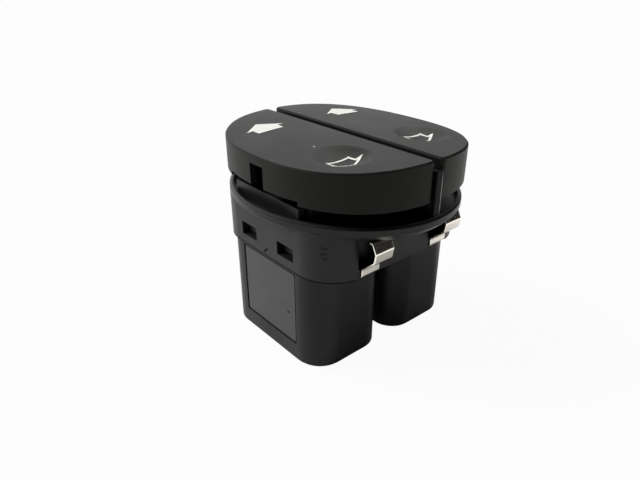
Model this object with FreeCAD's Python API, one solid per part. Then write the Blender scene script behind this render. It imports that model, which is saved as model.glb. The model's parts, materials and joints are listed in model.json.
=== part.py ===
import FreeCAD, Part
import math
import os

# Twin power window switch: two side-by-side rockers on one housing, held in the panel by four
# spring clips, with a base of two connector sockets under it.
# The frame is +Z up, +Y towards the ends with the filled arrows, -Y towards the finger dimples.
# The origin is the middle of the face that the base stands on. All sizes are in millimetres.

# Rockers
ROCKER_HALF_WIDTH = 20.0
ROCKER_HALF_LENGTH = 23.0
OVAL_POWER = 2.4
OVAL_ARCS = 20
ELLIPSE_POWER = 2.0
ROCKER_GAP = 1.8
CROWN_DROP = 0.95
ROCKER_WALL = 1.3
ROCKER_TOP = 1.8
SKIRT_DEPTH = 7.2
RIM_CHAMFER = 0.3
END_ROUND = 0.8
SKIRT_NOTCH_HALF = 9.85
SKIRT_NOTCH_RISE = 0.8
SIDE_SLOT_HALF = 1.9
SIDE_SLOT_HEIGHT = 4.7
DIMPLE_RADIUS = 6.0
DIMPLE_DEPTH = 1.15
DIMPLE_LIP = 0.25
DIMPLE_LIFT = 0.03
DIMPLE_Y = -10.7
TILT = 5.5
STOP_CLEARANCE = 0.4

# Hinge pegs, moulded on the rockers, and the ears that carry them
PIVOT_DEPTH = 5.4
PEG_RADIUS = 1.4
PEG_CLEARANCE = 0.05
PEG_LENGTH = 1.3
EAR_THICKNESS = 1.2
EAR_RADIUS = 2.3
EAR_CLEARANCE = 0.2
WEB_THICKNESS = 1.2
WEB_DROP = 1.0

# Housing
HOUSING_SIDE_STEP = 1.37
HOUSING_HALF_LENGTH = 17.2
HOUSING_CORNER = 7.8
HOUSING_SIDE_WALL = 1.63
HOUSING_END_WALL = 2.8
HOUSING_INNER_CORNER = 5.0
HOUSING_WALL_HEIGHT = 7.9
FLANGE_HALF_WIDTH = 21.1
FLANGE_HALF_LENGTH = 24.0
FLANGE_THICKNESS = 2.8
FLANGE_BEVEL = 1.3
RIM_WIDTH = 0.8
RIM_BEVEL = 0.4
MOAT_DEPTH = 1.4
CHEEK_HALF_LENGTH = 9.3
CHEEK_THICKNESS = 1.3
CHEEK_GAP = 0.4
POST_MARGIN = 1.9
BAFFLE_Y = 9.6
BAFFLE_THICKNESS = 0.8
BAFFLE_HEIGHT = 3.8
BAFFLE_CLEARANCE = 0.5
FIN_CLEARANCE = 0.4
FIN_INSET = 0.3
FIN_DROP = 2.0
WINDOW_Y = 5.6
WINDOW_HALF_LENGTH = 2.35
WINDOW_HEIGHT = 2.6
WINDOW_LEDGE = 1.8

# Base with its two sockets
BASE_HEIGHT = 19.5
BASE_HALF_LENGTH = 14.2
LOBE_CORNER = 5.5
LOBE_INNER_CORNER = 5.0
LOBE_SLOT = 2.6
LOBE_JOIN = 0.5
BASE_WALL = 1.5
SOCKET_FLOOR = 2.2
DECK_RISE = 1.8
COLLAR_CLEARANCE = 0.1
COLLAR_WALL = 1.2
COLLAR_HEIGHT = 5.3
BOTTOM_CHAMFER = 0.5
KEY_RIB_WIDTH = 1.6
KEY_RIB_DEPTH = 1.0
LABEL_FRONT = 8.3
LABEL_REAR = 7.9
LABEL_BOTTOM = 3.8
LABEL_MARGIN = 0.4
LABEL_DEPTH = 0.3
TOOTH_CLEARANCE = 0.2
TOOTH_REACH = 0.4
TOOTH_LAND = 0.55

# Clips
CLIP_X = 9.1
CLIP_WIDTH = 4.3
CLIP_THICKNESS = 0.35
CLIP_CLEARANCE = 0.08
CLIP_BULGE = 3.6
CLIP_SWEEP = 0.6
CLIP_BEND = 0.24
CLIP_KNEE_DROP = 1.7
CLIP_BELLY = 1.7
CLIP_BELLY_LEAN = 0.3
CLIP_TOP_REACH = 2.6
CLIP_LIP = 0.7
CLIP_TOP_CLEARANCE = 0.08
CLIP_LEG_SINK = 0.2
POCKET_SIDE = 0.35
POCKET_DEPTH = 2.0
POCKET_LEDGE = 1.8
LEDGE_LIFT = 0.6

# Contacts: blades, sliding carriages and wipers
TERMINAL_PITCH = 4.6
BLADE_WIDTH = 2.8
BLADE_THICKNESS = 0.8
BLADE_TIP = 5.0
BLADE_CHAMFER = 0.25
BLADE_CLEARANCE = 0.05
PAD_LENGTH = 3.4
PAD_WIDTH = 3.0
PAD_THICKNESS = 0.6
WIPER_WIDTH = 3.0
WIPER_THICKNESS = 0.3
WIPER_OFFSET = 0.5
FINGER_PITCH = 2.8
FINGER_HALF_LENGTH = 0.75
FINGER_LAND = 0.25
FINGER_WIDTH = 1.4
FINGER_HEIGHT = 0.7
CONTACT_CLEARANCE = 0.1
CARRIAGE_HALF_WIDTH = 5.0
CARRIAGE_END = 1.0
CARRIAGE_BODY = 1.2
SKID_WIDTH = 1.3
SKID_CLEARANCE = 0.08
RAIL_CLEARANCE = 0.1
RAIL_WIDTH = 1.0
RAIL_HEIGHT = 2.0
FORK_HEIGHT = 2.8
FORK_WALL = 1.4
FORK_WIDTH = 6.0
LEG_TIP_RADIUS = 1.2
LEG_WIDTH = 5.0
LEG_CLEARANCE = 0.05
LEG_TIP_DROP = 0.2
LEG_HOLE_ROOM = 0.6

# Return springs
SPRING_Y = 7.4
SPRING_RADIUS = 1.8
SPRING_WIRE = 0.25
SPRING_TURNS = 4
SPRING_STATIONS = 6
SPRING_SIDES = 4
SPRING_CLEARANCE = 0.08
SPIGOT_HEIGHT = 1.0
SPIGOT_CLEARANCE = 0.15

# How far a cutting tool runs past the faces it cuts, and the largest gap that counts as none
OVERCUT = 1.0
NO_GAP = 1e-6

# Levels that follow from the sizes above
TILT_SINE = math.sin(math.radians(TILT))
LOBE_SLOT_TOP = BASE_HEIGHT - LOBE_JOIN
SOCKET_DEPTH = BASE_HEIGHT - SOCKET_FLOOR
LABEL_TOP = BASE_HEIGHT - LABEL_MARGIN
FLANGE_BOTTOM = BASE_HEIGHT + HOUSING_WALL_HEIGHT
FLANGE_TOP = FLANGE_BOTTOM + FLANGE_THICKNESS
MOAT_FLOOR = FLANGE_TOP - MOAT_DEPTH
SKIRT_BOTTOM = FLANGE_TOP + ROCKER_HALF_LENGTH * TILT_SINE + STOP_CLEARANCE
TOP = SKIRT_BOTTOM + SKIRT_DEPTH
PIVOT_Z = TOP - PIVOT_DEPTH
DECK_TOP = BASE_HEIGHT + DECK_RISE
PAD_TOP = DECK_TOP + PAD_THICKNESS
WIPER_BOTTOM = PAD_TOP + CONTACT_CLEARANCE + FINGER_HEIGHT
CARRIAGE_BOTTOM = WIPER_BOTTOM + WIPER_THICKNESS
CARRIAGE_TOP = CARRIAGE_BOTTOM + CARRIAGE_BODY
LEG_TIP_Z = CARRIAGE_TOP + LEG_TIP_DROP + LEG_TIP_RADIUS
SPIGOT_HALF = (SPRING_RADIUS - 2 * SPRING_WIRE - SPIGOT_CLEARANCE) / math.sqrt(2)
CROWN_RADIUS = (ROCKER_HALF_WIDTH ** 2 + CROWN_DROP ** 2) / (2 * CROWN_DROP)

# Places across the switch
HOUSING_HALF_WIDTH = ROCKER_HALF_WIDTH - HOUSING_SIDE_STEP
SWITCH_X = (HOUSING_HALF_WIDTH + LOBE_SLOT / 2) / 2
BEARING_HALF = ROCKER_GAP / 2 + PEG_LENGTH + EAR_CLEARANCE
INNER_EAR_X = BEARING_HALF + EAR_CLEARANCE
CHEEK_OUTER = ROCKER_HALF_WIDTH - ROCKER_WALL - CHEEK_GAP
CHEEK_INNER = CHEEK_OUTER - CHEEK_THICKNESS
POST_INNER = SWITCH_X + LEG_WIDTH / 2 + LEG_HOLE_ROOM + POST_MARGIN
POST_OUTER = POST_INNER + CHEEK_THICKNESS
OUTER_EAR_X = POST_INNER - EAR_CLEARANCE
CAVITY_HALF_WIDTH = HOUSING_HALF_WIDTH - HOUSING_SIDE_WALL
CAVITY_HALF_LENGTH = HOUSING_HALF_LENGTH - HOUSING_END_WALL
TERMINAL_NAMES = ("front_ground", "front_motor", "supply", "rear_motor", "rear_ground")
TERMINAL_PLACES = (-2, -1, 0, 1, 2)


def box(x0, x1, y0, y1, z0, z1):
    """A block between two corners."""
    return Part.makeBox(x1 - x0, y1 - y0, z1 - z0, FreeCAD.Vector(x0, y0, z0))


def cylinder_x(radius, x0, x1, y, z):
    """A round bar along X."""
    return Part.makeCylinder(radius, x1 - x0, FreeCAD.Vector(x0, y, z), FreeCAD.Vector(1, 0, 0))


def mirror_x(shape):
    """The same piece on the other side of the switch."""
    return shape.mirror(FreeCAD.Vector(0, 0, 0), FreeCAD.Vector(1, 0, 0))


def mirror_y(shape):
    """The same piece at the other end of the switch."""
    return shape.mirror(FreeCAD.Vector(0, 0, 0), FreeCAD.Vector(0, 1, 0))


def path_edges(points, place):
    """A closed run of straight lines and tangent arcs round points (u, v, corner radius)."""
    starts = []
    ends = []
    middles = []
    count = len(points)
    for index, (u, v, radius) in enumerate(points):
        if radius <= 0:
            starts.append((u, v))
            ends.append((u, v))
            middles.append(None)
            continue
        before = points[index - 1]
        after = points[(index + 1) % count]
        in_u, in_v = u - before[0], v - before[1]
        out_u, out_v = after[0] - u, after[1] - v
        in_length = math.hypot(in_u, in_v)
        out_length = math.hypot(out_u, out_v)
        in_u, in_v = in_u / in_length, in_v / in_length
        out_u, out_v = out_u / out_length, out_v / out_length
        turn = math.atan2(in_u * out_v - in_v * out_u, in_u * out_u + in_v * out_v)
        cut = radius * math.tan(abs(turn) / 2)
        start = (u - in_u * cut, v - in_v * cut)
        end = (u + out_u * cut, v + out_v * cut)
        side_u, side_v = out_u - in_u, out_v - in_v
        side = math.hypot(side_u, side_v)
        reach = radius / math.cos(turn / 2) - radius
        starts.append(start)
        ends.append(end)
        middles.append((u + side_u / side * reach, v + side_v / side * reach))
    edges = []
    for index in range(count):
        if middles[index] is not None:
            arc = Part.Arc(place(*starts[index]), place(*middles[index]), place(*ends[index]))
            edges.append(arc.toShape())
        following = (index + 1) % count
        first = place(*ends[index])
        second = place(*starts[following])
        if first.distanceToPoint(second) > NO_GAP:
            edges.append(Part.LineSegment(first, second).toShape())
    return edges


def flat_piece(points, place, push):
    """A closed outline with rounded corners, pushed out into a solid."""
    return Part.Face(Part.Wire(path_edges(points, place))).extrude(push)


def rounded_prism(x0, x1, y0, y1, radii, z0, z1):
    """An upright block; radii are those of the corners at (x0, y0), (x1, y0), (x1, y1), (x0, y1)."""
    corners = ((x0, y0), (x1, y0), (x1, y1), (x0, y1))
    points = [(x, y, radius) for (x, y), radius in zip(corners, radii)]
    return flat_piece(points, lambda u, v: FreeCAD.Vector(u, v, z0), FreeCAD.Vector(0, 0, z1 - z0))


def side_piece(points, x0, x1):
    """An outline in the YZ plane, pushed along X."""
    return flat_piece(points, lambda u, v: FreeCAD.Vector(x0, u, v), FreeCAD.Vector(x1 - x0, 0, 0))


def strip_outline(points, thickness):
    """The closed outline of a bent strip, from its middle line (u, v, bend radius)."""
    half = thickness / 2
    left = []
    right = []
    last = len(points) - 1
    for index, (u, v, radius) in enumerate(points):
        back = points[max(index - 1, 0)]
        here = points[index]
        ahead = points[min(index + 1, last)]
        first = (here[0] - back[0], here[1] - back[1]) if index > 0 else None
        second = (ahead[0] - here[0], ahead[1] - here[1]) if index < last else None
        first = first or second
        second = second or first
        first_length = math.hypot(*first)
        second_length = math.hypot(*second)
        normal_a = (-first[1] / first_length, first[0] / first_length)
        normal_b = (-second[1] / second_length, second[0] / second_length)
        share = 1 + normal_a[0] * normal_b[0] + normal_a[1] * normal_b[1]
        step_u = (normal_a[0] + normal_b[0]) / share * half
        step_v = (normal_a[1] + normal_b[1]) / share * half
        bend = first[0] * second[1] - first[1] * second[0]
        shift = math.copysign(half, bend) if radius > 0 else 0
        left.append((u + step_u, v + step_v, radius - shift if radius > 0 else 0))
        right.append((u - step_u, v - step_v, radius + shift if radius > 0 else 0))
    return left + right[::-1]


def oval_point(half_width, half_length, power, share, z):
    """The point of an oval at a share of the way round: |x / width|^power + |y / length|^power = 1."""
    angle = 2 * math.pi * share
    across = abs(math.cos(angle) / half_width) ** power
    along = abs(math.sin(angle) / half_length) ** power
    reach = (across + along) ** (-1 / power)
    return FreeCAD.Vector(reach * math.cos(angle), reach * math.sin(angle), z)


def oval_prism(half_width, half_length, power, z0, z1):
    """An upright oval block, its outline drawn as a chain of arcs through points of the oval."""
    arcs = []
    for step in range(OVAL_ARCS):
        start, middle, end = [oval_point(half_width, half_length, power, (step + part) / OVAL_ARCS, z0)
                              for part in (0, 0.5, 1)]
        arcs.append(Part.Arc(start, middle, end).toShape())
    return Part.Face(Part.Wire(arcs)).extrude(FreeCAD.Vector(0, 0, z1 - z0))


def ellipse_prism(half_width, half_length, z0, z1):
    """An upright elliptical block."""
    return oval_prism(half_width, half_length, ELLIPSE_POWER, z0, z1)


def crown_body(radius):
    """The round bar along Y whose top is the crowned face of both rockers."""
    reach = 2 * ROCKER_HALF_LENGTH
    start = FreeCAD.Vector(0, -reach, TOP - CROWN_RADIUS)
    return Part.makeCylinder(radius, 2 * reach, start, FreeCAD.Vector(0, 1, 0))


def crown_height(x):
    """The height of the crowned face at a place across the switch."""
    return TOP - CROWN_RADIUS + math.sqrt(CROWN_RADIUS ** 2 - x ** 2)


def under_height(x):
    """The height of the underside of a rocker's top."""
    inner = CROWN_RADIUS - ROCKER_TOP
    return TOP - CROWN_RADIUS + math.sqrt(inner ** 2 - x ** 2)


def ear(x0, x1, foot_z, radius):
    """An upright ear along X from foot_z to round the pivot."""
    post = box(x0, x1, -radius, radius, min(foot_z, PIVOT_Z), max(foot_z, PIVOT_Z))
    return post.fuse(cylinder_x(radius, x0, x1, 0, PIVOT_Z))


def dimple_lip(points):
    """The wide shallow mouth of the dimple, turned from points (radius, height) of its slope."""
    middle = FreeCAD.Vector(0, 0, points[0][1])
    slope = [FreeCAD.Vector(radius, 0, height) for radius, height in points]
    outer = FreeCAD.Vector(points[-1][0], 0, ROCKER_TOP)
    above = FreeCAD.Vector(0, 0, ROCKER_TOP)
    outline = Part.makePolygon([middle] + slope + [outer, above, middle])
    return Part.Face(outline).revolve(FreeCAD.Vector(0, 0, 0), FreeCAD.Vector(0, 0, 1), 360)


def finger_dimple():
    """The tools that press the finger dimple in turn: a lip that eases into the top, a hollow."""
    half_angle = math.atan(DIMPLE_DEPTH / DIMPLE_RADIUS)
    both_radii = DIMPLE_RADIUS / math.sin(2 * half_angle)
    lip_radius = both_radii * DIMPLE_LIP
    hollow_radius = both_radii - lip_radius
    turn_x = hollow_radius * math.sin(2 * half_angle)
    turn_z = hollow_radius * (1 - math.cos(2 * half_angle)) - DIMPLE_DEPTH
    lip_x = DIMPLE_RADIUS - lip_radius * math.sin(half_angle)
    lip_z = lip_radius * (math.cos(half_angle) - 1)
    centre = FreeCAD.Vector(0, 0, hollow_radius - DIMPLE_DEPTH)
    hollow = Part.makeSphere(hollow_radius, centre, FreeCAD.Vector(0, 1, 0))
    tools = [dimple_lip([(turn_x, turn_z), (lip_x, lip_z), (DIMPLE_RADIUS, 0)]), hollow]
    lean = math.degrees(math.asin(SWITCH_X / CROWN_RADIUS))
    for tool in tools:
        tool.rotate(FreeCAD.Vector(0, 0, 0), FreeCAD.Vector(0, 1, 0), lean)
        tool.translate(FreeCAD.Vector(SWITCH_X, DIMPLE_Y, crown_height(SWITCH_X) + DIMPLE_LIFT))
    return tools


def rocker_shell():
    """The crowned cap with its skirt, hollow from below."""
    reach = ROCKER_HALF_LENGTH + OVERCUT
    half = box(ROCKER_GAP / 2, ROCKER_HALF_WIDTH + OVERCUT, -reach, reach, SKIRT_BOTTOM - OVERCUT,
               TOP + OVERCUT)
    outside = oval_prism(ROCKER_HALF_WIDTH, ROCKER_HALF_LENGTH, OVAL_POWER, SKIRT_BOTTOM,
                         TOP + OVERCUT)
    outside = outside.common(half)
    ends = [edge for edge in outside.Edges if edge.BoundBox.XMax < ROCKER_GAP / 2 + NO_GAP
            and edge.BoundBox.YLength < NO_GAP]
    outside = outside.makeFillet(END_ROUND, ends).common(crown_body(CROWN_RADIUS))
    top_face = max(outside.Faces, key=lambda face: face.CenterOfMass.z)
    outside = outside.makeChamfer(RIM_CHAMFER, top_face.Edges)
    for tool in finger_dimple():
        outside = outside.cut(tool)
    inner_half = box(ROCKER_GAP / 2 + ROCKER_WALL, ROCKER_HALF_WIDTH, -ROCKER_HALF_LENGTH,
                     ROCKER_HALF_LENGTH, SKIRT_BOTTOM - OVERCUT, TOP)
    inside = oval_prism(ROCKER_HALF_WIDTH - ROCKER_WALL, ROCKER_HALF_LENGTH - ROCKER_WALL,
                        OVAL_POWER, SKIRT_BOTTOM - OVERCUT, TOP)
    inside = inside.common(inner_half).common(crown_body(CROWN_RADIUS - ROCKER_TOP))
    return outside.cut(inside)


def skirt_cuts():
    """The side slot and the raised stretch of the skirt, and the way round the middle bearing."""
    outer = ROCKER_HALF_WIDTH + OVERCUT
    below = SKIRT_BOTTOM - OVERCUT
    slot = box(CHEEK_OUTER, outer, -SIDE_SLOT_HALF, SIDE_SLOT_HALF, below,
               SKIRT_BOTTOM + SIDE_SLOT_HEIGHT)
    notch_start = ROCKER_HALF_WIDTH / 2
    notch = box(notch_start, outer, -SKIRT_NOTCH_HALF, SKIRT_NOTCH_HALF, below,
                SKIRT_BOTTOM + SKIRT_NOTCH_RISE)
    room = EAR_RADIUS + STOP_CLEARANCE + (PIVOT_Z - SKIRT_BOTTOM + EAR_RADIUS) * TILT_SINE
    bearing_way = box(0, ROCKER_GAP / 2 + ROCKER_WALL + EAR_CLEARANCE / 2, -room, room, below,
                      PIVOT_Z + EAR_RADIUS + STOP_CLEARANCE)
    return slot.fuse(notch).fuse(bearing_way)


def hinge_parts():
    """Both ears with their pegs, the web between them and the drive leg."""
    ceiling = under_height(0) + ROCKER_TOP / 2
    ears = ear(INNER_EAR_X, INNER_EAR_X + EAR_THICKNESS, ceiling, EAR_RADIUS)
    ears = ears.fuse(ear(OUTER_EAR_X - EAR_THICKNESS, OUTER_EAR_X, ceiling, EAR_RADIUS))
    middle = INNER_EAR_X + EAR_THICKNESS / 2
    ears = ears.fuse(cylinder_x(PEG_RADIUS, INNER_EAR_X - PEG_LENGTH, middle, 0, PIVOT_Z))
    middle = OUTER_EAR_X - EAR_THICKNESS / 2
    ears = ears.fuse(cylinder_x(PEG_RADIUS, middle, OUTER_EAR_X + PEG_LENGTH, 0, PIVOT_Z))
    web = box(INNER_EAR_X, OUTER_EAR_X, -WEB_THICKNESS / 2, WEB_THICKNESS / 2,
              PIVOT_Z - WEB_DROP, ceiling)
    neck = LEG_TIP_RADIUS - FORK_HEIGHT * TILT_SINE
    leg = box(SWITCH_X - LEG_WIDTH / 2, SWITCH_X + LEG_WIDTH / 2, -neck, neck, LEG_TIP_Z, ceiling)
    tip = cylinder_x(LEG_TIP_RADIUS, SWITCH_X - LEG_WIDTH / 2, SWITCH_X + LEG_WIDTH / 2, 0, LEG_TIP_Z)
    return ears.fuse(web).fuse(leg).fuse(tip)


def stud(x, y, z0, z1):
    """A square stud that keeps the end of a return spring in place."""
    return box(x - SPIGOT_HALF, x + SPIGOT_HALF, y - SPIGOT_HALF, y + SPIGOT_HALF, z0, z1)


def rocker_studs():
    """The two studs under the rocker's top."""
    lowest = under_height(SWITCH_X) - SPIGOT_HEIGHT
    front, rear = [stud(SWITCH_X, y, lowest, lowest + SPIGOT_HEIGHT + ROCKER_TOP / 2)
                   for y in (-SPRING_Y, SPRING_Y)]
    return front.fuse(rear)


def rocker():
    """The right-hand rocker, one moulding."""
    shell = rocker_shell()
    inner_works = hinge_parts().common(crown_body(CROWN_RADIUS - ROCKER_TOP / 2))
    whole = shell.cut(skirt_cuts()).fuse(inner_works).fuse(rocker_studs())
    return whole.removeSplitter()


def clip_pocket():
    """The recess for a clip in the front wall, with the slot behind and below its ledge."""
    wide = CLIP_WIDTH / 2 + POCKET_SIDE
    face = -HOUSING_HALF_LENGTH
    ledge_top = BASE_HEIGHT + POCKET_LEDGE
    recess = box(CLIP_X - wide, CLIP_X + wide, face - OVERCUT, face + POCKET_DEPTH, ledge_top,
                 FLANGE_BOTTOM)
    slot_depth = CLIP_THICKNESS + 2 * CLIP_CLEARANCE
    slot = box(CLIP_X - wide, CLIP_X + wide, face + POCKET_DEPTH - slot_depth, face + POCKET_DEPTH,
               BASE_HEIGHT - OVERCUT, ledge_top)
    under = box(CLIP_X - wide, CLIP_X + wide, face - OVERCUT, face + POCKET_DEPTH,
                BASE_HEIGHT - OVERCUT, BASE_HEIGHT + LEDGE_LIFT)
    return recess.fuse(slot).fuse(under)


def clip_pockets():
    """The four pockets, two at each end."""
    front = clip_pocket().fuse(mirror_x(clip_pocket()))
    return front.fuse(mirror_y(front))


def windows():
    """The four latch windows, two in each side wall."""
    sill = BASE_HEIGHT + WINDOW_LEDGE
    reach = HOUSING_HALF_WIDTH + OVERCUT
    cuts = []
    for y in (-WINDOW_Y, WINDOW_Y):
        cuts.append(box(-reach, reach, y - WINDOW_HALF_LENGTH, y + WINDOW_HALF_LENGTH,
                        sill, sill + WINDOW_HEIGHT))
    return cuts[0].fuse(cuts[1])


def flange():
    """The oval flange: bevelled under its edge, with a rim round a sunken moat."""
    plate = ellipse_prism(FLANGE_HALF_WIDTH, FLANGE_HALF_LENGTH, FLANGE_BOTTOM, FLANGE_TOP)
    lowest = [edge for edge in plate.Edges if edge.BoundBox.ZMax < FLANGE_BOTTOM + NO_GAP]
    plate = plate.makeChamfer(FLANGE_BEVEL, lowest)
    highest = [edge for edge in plate.Edges if edge.BoundBox.ZMin > FLANGE_TOP - NO_GAP]
    plate = plate.makeChamfer(RIM_BEVEL, highest)
    moat = ellipse_prism(FLANGE_HALF_WIDTH - RIM_WIDTH, FLANGE_HALF_LENGTH - RIM_WIDTH,
                         MOAT_FLOOR, FLANGE_TOP + OVERCUT)
    platform = box(-CHEEK_OUTER, CHEEK_OUTER, -CHEEK_HALF_LENGTH, CHEEK_HALF_LENGTH, MOAT_FLOOR,
                   FLANGE_TOP + OVERCUT)
    return plate.cut(moat.cut(platform))


def baffle():
    """The low wall under a rocker's rear half that keeps light and dust out of the springs."""
    inner = ROCKER_GAP / 2 + ROCKER_WALL + BAFFLE_CLEARANCE
    outer = CHEEK_INNER - BAFFLE_CLEARANCE
    foot = box(inner, outer, CHEEK_HALF_LENGTH, BAFFLE_Y, MOAT_FLOOR, FLANGE_TOP)
    wall = box(inner, outer, BAFFLE_Y, BAFFLE_Y + BAFFLE_THICKNESS, MOAT_FLOOR,
               FLANGE_TOP + BAFFLE_HEIGHT)
    return foot.fuse(wall)


def bearings():
    """The middle fin and bearing block, the cheeks, baffles and outer posts, with peg holes."""
    fin_half = ROCKER_GAP / 2 - FIN_CLEARANCE
    fin_length = FLANGE_HALF_LENGTH - RIM_BEVEL - FIN_INSET
    works = box(-fin_half, fin_half, -fin_length, fin_length, MOAT_FLOOR, TOP - FIN_DROP)
    works = works.fuse(ear(-BEARING_HALF, BEARING_HALF, MOAT_FLOOR, EAR_RADIUS))
    lowest_skirt = SKIRT_BOTTOM + SKIRT_NOTCH_RISE - CHEEK_HALF_LENGTH * TILT_SINE
    cheek = box(CHEEK_INNER, CHEEK_OUTER, -CHEEK_HALF_LENGTH, CHEEK_HALF_LENGTH,
                MOAT_FLOOR, lowest_skirt - 2 * STOP_CLEARANCE)
    cheek = cheek.fuse(ear(POST_INNER, POST_OUTER, MOAT_FLOOR, EAR_RADIUS))
    cheek = cheek.fuse(baffle()).fuse(mirror_y(baffle()))
    works = works.fuse(cheek).fuse(mirror_x(cheek))
    hole = PEG_RADIUS + PEG_CLEARANCE
    depth = INNER_EAR_X - PEG_LENGTH - EAR_CLEARANCE
    outer_hole = cylinder_x(hole, POST_INNER - OVERCUT, POST_OUTER + OVERCUT, 0, PIVOT_Z)
    inner_hole = cylinder_x(hole, depth, BEARING_HALF + OVERCUT, 0, PIVOT_Z)
    holes = outer_hole.fuse(inner_hole)
    return works.cut(holes.fuse(mirror_x(holes)))


def leg_hole():
    """The way through the platform for one rocker's drive leg."""
    lever = PIVOT_Z - FLANGE_BOTTOM
    room = LEG_TIP_RADIUS + lever * TILT_SINE + LEG_HOLE_ROOM
    wide = LEG_WIDTH / 2 + LEG_HOLE_ROOM
    corner = LEG_HOLE_ROOM
    return rounded_prism(SWITCH_X - wide, SWITCH_X + wide, -room, room, (corner,) * 4,
                         FLANGE_BOTTOM - OVERCUT, FLANGE_TOP + OVERCUT)


def housing():
    """The upper moulding: flange, bearings, skirt walls, windows and clip pockets."""
    outer = (HOUSING_CORNER,) * 4
    inner = (HOUSING_INNER_CORNER,) * 4
    walls = rounded_prism(-HOUSING_HALF_WIDTH, HOUSING_HALF_WIDTH, -HOUSING_HALF_LENGTH,
                          HOUSING_HALF_LENGTH, outer, BASE_HEIGHT, FLANGE_BOTTOM)
    cavity = rounded_prism(-CAVITY_HALF_WIDTH, CAVITY_HALF_WIDTH, -CAVITY_HALF_LENGTH,
                           CAVITY_HALF_LENGTH, inner, BASE_HEIGHT - OVERCUT, FLANGE_BOTTOM)
    walls = walls.cut(cavity).cut(windows()).cut(clip_pockets())
    whole = walls.fuse(flange()).fuse(bearings())
    whole = whole.cut(leg_hole()).cut(mirror_x(leg_hole()))
    for x in (-SWITCH_X, SWITCH_X):
        for y in (-SPRING_Y, SPRING_Y):
            whole = whole.fuse(stud(x, y, MOAT_FLOOR, FLANGE_TOP + SPIGOT_HEIGHT))
    return whole.removeSplitter()


def lobe():
    """One connector lobe of the base, round at its corners, with its socket."""
    inner_x = LOBE_SLOT / 2
    body = rounded_prism(inner_x, HOUSING_HALF_WIDTH, -BASE_HALF_LENGTH, BASE_HALF_LENGTH,
                         (LOBE_INNER_CORNER, LOBE_CORNER, LOBE_CORNER, LOBE_INNER_CORNER),
                         0, BASE_HEIGHT)
    bottom = [edge for edge in body.Edges if edge.BoundBox.ZMax < NO_GAP]
    body = body.makeChamfer(BOTTOM_CHAMFER, bottom)
    near = LOBE_INNER_CORNER - BASE_WALL
    far = LOBE_CORNER - BASE_WALL
    socket = rounded_prism(inner_x + BASE_WALL, HOUSING_HALF_WIDTH - BASE_WALL,
                           -BASE_HALF_LENGTH + BASE_WALL, BASE_HALF_LENGTH - BASE_WALL,
                           (near, far, far, near), -OVERCUT, SOCKET_DEPTH)
    key = box(SWITCH_X - KEY_RIB_WIDTH / 2, SWITCH_X + KEY_RIB_WIDTH / 2,
              BASE_HALF_LENGTH - BASE_WALL - KEY_RIB_DEPTH, BASE_HALF_LENGTH - BASE_WALL / 2,
              BOTTOM_CHAMFER, SOCKET_DEPTH + BASE_WALL / 2)
    return body.cut(socket).fuse(key)


def tooth():
    """A latch tooth: flat below, where it catches the window's sill, and sloping above."""
    start = CAVITY_HALF_WIDTH - COLLAR_CLEARANCE
    inner = start - COLLAR_WALL / 2
    sill = BASE_HEIGHT + WINDOW_LEDGE + TOOTH_CLEARANCE
    crest = BASE_HEIGHT + WINDOW_LEDGE + WINDOW_HEIGHT - TOOTH_CLEARANCE
    half = WINDOW_HALF_LENGTH - TOOTH_CLEARANCE
    reach = min(start + TOOTH_REACH, HOUSING_HALF_WIDTH)
    points = [(inner, sill, 0), (reach, sill, 0), (reach, sill + TOOTH_LAND, 0), (start, crest, 0),
              (inner, crest, 0)]
    return flat_piece(points, lambda u, v: FreeCAD.Vector(u, -half, v),
                      FreeCAD.Vector(0, 2 * half, 0))


def teeth():
    """The four teeth that hold the base in the housing."""
    front = tooth()
    front.translate(FreeCAD.Vector(0, -WINDOW_Y, 0))
    side = front.fuse(mirror_y(front))
    return side.fuse(mirror_x(side))


def blade_slots():
    """The slots in the deck that the blades are pressed into, for the right-hand side."""
    half_x = BLADE_THICKNESS / 2 + BLADE_CLEARANCE
    half_y = BLADE_WIDTH / 2 + BLADE_CLEARANCE
    slots = []
    for place in TERMINAL_PLACES:
        y = place * TERMINAL_PITCH
        slots.append(box(SWITCH_X - half_x, SWITCH_X + half_x, y - half_y, y + half_y,
                         SOCKET_DEPTH - OVERCUT, DECK_TOP + OVERCUT))
    return slots[0].multiFuse(slots[1:])


def rails():
    """The two rails that guide the right-hand carriage."""
    inner = CARRIAGE_HALF_WIDTH + RAIL_CLEARANCE
    outer = inner + RAIL_WIDTH
    end = CAVITY_HALF_LENGTH
    foot = DECK_TOP - DECK_RISE / 2
    crest = DECK_TOP + RAIL_HEIGHT
    one = box(SWITCH_X + inner, SWITCH_X + outer, -end, end, foot, crest)
    two = box(SWITCH_X - outer, SWITCH_X - inner, -end, end, foot, crest)
    return one.fuse(two)


def collar_block(inset, z0, z1):
    """The block inside the housing's walls, less an inset all round."""
    half_x = CAVITY_HALF_WIDTH - inset
    half_y = CAVITY_HALF_LENGTH - inset
    return rounded_prism(-half_x, half_x, -half_y, half_y, (HOUSING_INNER_CORNER - inset,) * 4, z0, z1)


def base():
    """The lower moulding: two sockets, the deck of contacts and the collar in the housing."""
    collar = collar_block(COLLAR_CLEARANCE, LOBE_SLOT_TOP, BASE_HEIGHT + COLLAR_HEIGHT)
    room = collar_block(COLLAR_CLEARANCE + COLLAR_WALL, DECK_TOP, TOP)
    guides = rails().fuse(mirror_x(rails())).common(collar)
    whole = collar.cut(room).fuse(lobe()).fuse(mirror_x(lobe())).fuse(teeth()).fuse(guides)
    whole = whole.cut(blade_slots()).cut(mirror_x(blade_slots()))
    recess = box(-HOUSING_HALF_WIDTH - OVERCUT, -HOUSING_HALF_WIDTH + LABEL_DEPTH, -LABEL_FRONT,
                 LABEL_REAR, LABEL_BOTTOM, LABEL_TOP)
    return whole.cut(recess).removeSplitter()


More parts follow.
